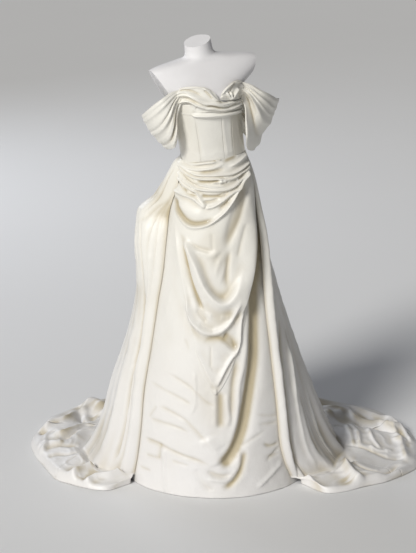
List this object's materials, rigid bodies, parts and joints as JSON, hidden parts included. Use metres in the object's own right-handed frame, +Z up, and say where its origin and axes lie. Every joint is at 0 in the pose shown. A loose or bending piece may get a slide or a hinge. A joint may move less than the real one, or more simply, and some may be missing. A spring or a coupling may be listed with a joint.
{
  "type": "evening gown on a limbless dress form",
  "caption": "Ivory satin gown with a boned bodice, draped off-shoulder sleeves, a cowl-draped front and an overskirt with a train, standing on a limbless dress form.",
  "frame": {"origin": "centre of the underside of the stand's round base, on the floor", "axes": "+Z up; -Y towards the front of the gown; +X to the viewer's right when looking at its front"},
  "size_m": [1.4362, 1.0806, 1.5676],
  "materials": {
    "ivory_satin": "heavy ivory satin, soft sheen, fine weave",
    "covered_button": "small buttons covered in the same satin",
    "form_white": "matt white smooth shell",
    "stand_steel": "plain brushed steel pole and round base"
  },
  "bodies": {
    "root": {"bodice_front_left": "ivory_satin", "bodice_front_right": "ivory_satin", "bodice_side_left": "ivory_satin", "bodice_side_right": "ivory_satin", "bodice_back_left": "ivory_satin", "bodice_back_right": "ivory_satin", "bust_drape_left": "ivory_satin", "bust_drape_right": "ivory_satin", "underbust_band": "ivory_satin", "sleeve_left": "ivory_satin", "sleeve_right": "ivory_satin", "skirt_cowl_drape": "ivory_satin", "skirt_front": "ivory_satin", "skirt_back": "ivory_satin", "overskirt_front_left": "ivory_satin", "train_side_left": "ivory_satin", "train_back_left": "ivory_satin", "train_back_right": "ivory_satin", "train_side_right": "ivory_satin", "overskirt_front_right": "ivory_satin", "back_button_01": "covered_button", "back_button_02": "covered_button", "back_button_03": "covered_button", "back_button_04": "covered_button", "back_button_05": "covered_button", "back_button_06": "covered_button", "back_button_07": "covered_button", "back_button_08": "covered_button", "back_button_09": "covered_button", "back_button_10": "covered_button", "back_button_11": "covered_button", "form_torso": "form_white", "stand_pole": "stand_steel", "stand_base": "stand_steel"}
  },
  "joints": []
}
